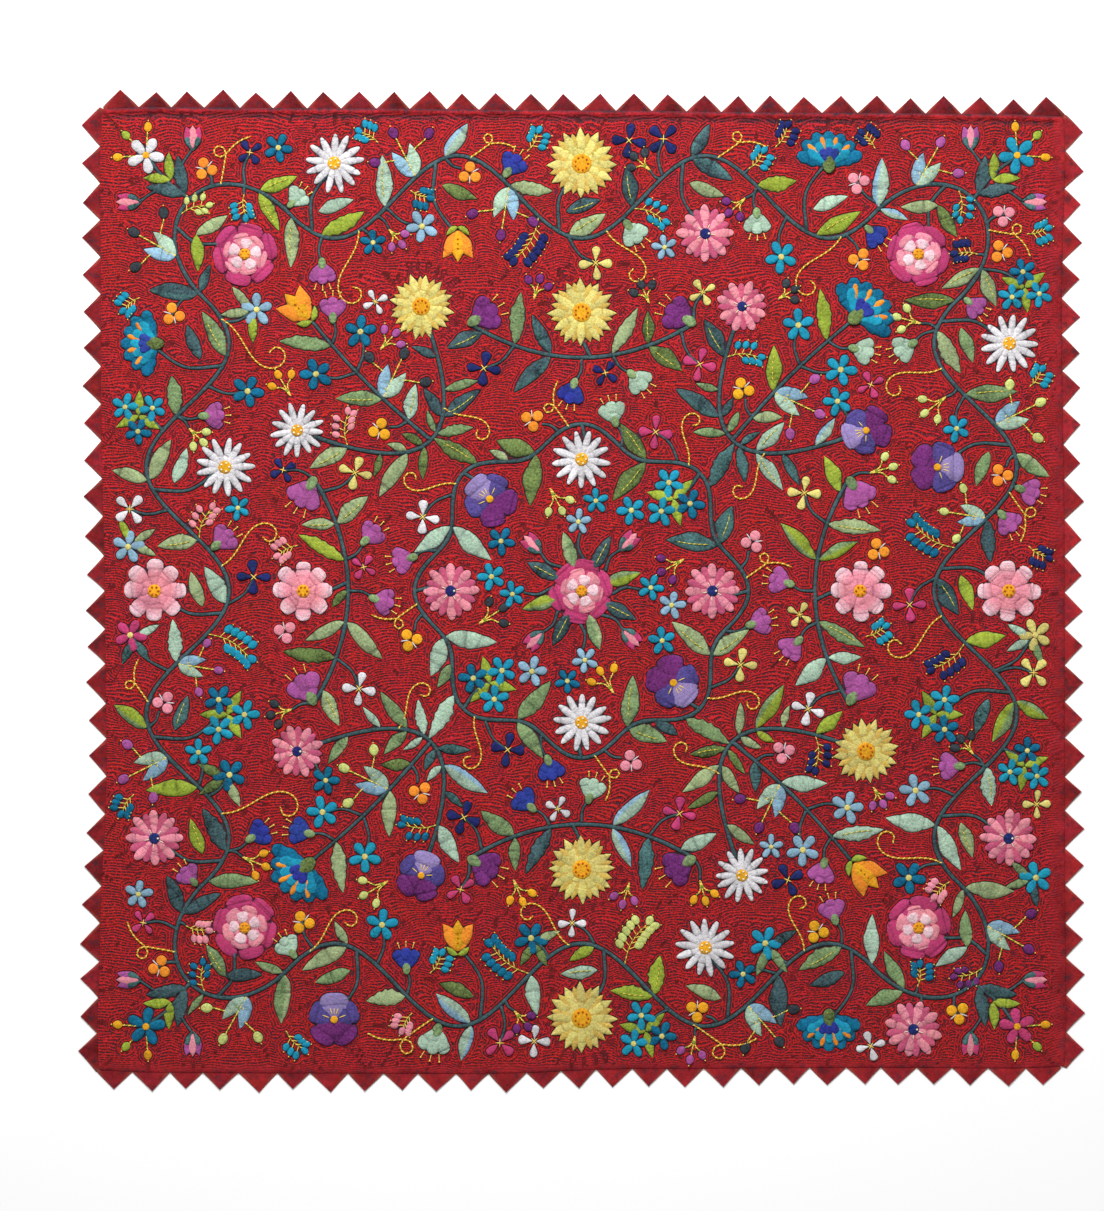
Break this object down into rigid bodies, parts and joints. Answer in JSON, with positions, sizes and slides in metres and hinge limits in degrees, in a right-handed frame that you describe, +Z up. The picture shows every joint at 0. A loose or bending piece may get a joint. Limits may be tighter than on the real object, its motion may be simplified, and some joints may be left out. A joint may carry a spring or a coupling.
{
  "type": "quilt",
  "caption": "Square red bed quilt lying flat, face up, with padded floral appliqué, close echo quilting and an edging of folded cloth points.",
  "frame": {"origin": "middle of the whole outline, points included, on the surface that the quilt lies on", "axes": "+Z up, out of the quilt's face; +X its width, to the right as one looks at the face; +Y from its bottom edge to its top edge"},
  "size_m": [1.7006, 1.6952, 0.0094],
  "materials": {
    "red_cloth": "hand-dyed red cotton, hand quilted in close rows",
    "point_cloth": "the same red cotton, folded and pressed",
    "stem_cloth": "dark slate green bias strip",
    "sunflower_cloth": "pale yellow cotton, padded",
    "daisy_cloth": "white cotton, padded",
    "aster_cloth": "pink cotton, padded",
    "rose_cloth": "layered pinks, padded",
    "pansy_cloth": "purple and lilac cotton, padded",
    "cosmos_cloth": "pale pink cotton, padded",
    "bluet_cloth": "turquoise cotton, padded",
    "carnation_cloth": "teal cotton, padded",
    "tulip_cloth": "orange cotton, padded",
    "leaf_cloth": "sage, lime and mint cottons, padded",
    "berry_cloth": "small padded rounds in many colours",
    "thread": "yellow cotton embroidery thread, stem stitch and knots"
  },
  "bodies": {
    "root": {"border_00_sunflower": "sunflower_cloth", "border_01_aster": "aster_cloth", "border_02_carnation": "carnation_cloth", "border_03_rose": "rose_cloth", "border_04_daisy": "daisy_cloth", "border_05_pansy": "pansy_cloth", "border_06_cosmos": "cosmos_cloth", "border_07_bluets": "bluet_cloth", "border_08_aster": "aster_cloth", "border_09_rose": "rose_cloth", "border_10_carnation": "carnation_cloth", "border_11_daisy": "daisy_cloth", "border_12_sunflower": "sunflower_cloth", "border_13_tulip": "tulip_cloth", "border_14_pansy": "pansy_cloth", "border_15_rose": "rose_cloth", "border_16_aster": "aster_cloth", "border_17_bluets": "bluet_cloth", "border_18_cosmos": "cosmos_cloth", "border_19_daisy": "daisy_cloth", "border_20_carnation": "carnation_cloth", "border_21_rose": "rose_cloth", "border_22_daisy": "daisy_cloth", "border_23_tulip": "tulip_cloth", "border_vine_1": "stem_cloth", "border_vine_2": "stem_cloth", "border_vine_3": "stem_cloth", "border_vine_4": "stem_cloth", "centre_rose": "rose_cloth", "garland_e_cosmos": "cosmos_cloth", "garland_n_sunflower": "sunflower_cloth", "garland_s_sunflower": "sunflower_cloth", "garland_stem_e": "stem_cloth", "garland_stem_n": "stem_cloth", "garland_stem_s": "stem_cloth", "garland_stem_w": "stem_cloth", "garland_w_cosmos": "cosmos_cloth", "points_bottom": "point_cloth", "points_left": "point_cloth", "points_right": "point_cloth", "points_top": "point_cloth", "quilt_body": "red_cloth", "spray_ne_carnation": "carnation_cloth", "spray_nw_tulip": "tulip_cloth", "spray_se_tulip": "tulip_cloth", "spray_stem_ne": "stem_cloth", "spray_stem_nw": "stem_cloth", "spray_stem_se": "stem_cloth", "spray_stem_sw": "stem_cloth", "spray_sw_carnation": "carnation_cloth", "wreath_0_aster": "aster_cloth", "wreath_1_bluets": "bluet_cloth", "wreath_2_daisy": "daisy_cloth", "wreath_3_pansy": "pansy_cloth", "wreath_4_aster": "aster_cloth", "wreath_5_bluets": "bluet_cloth", "wreath_6_daisy": "daisy_cloth", "wreath_7_pansy": "pansy_cloth", "wreath_stem": "stem_cloth"}
  },
  "joints": []
}
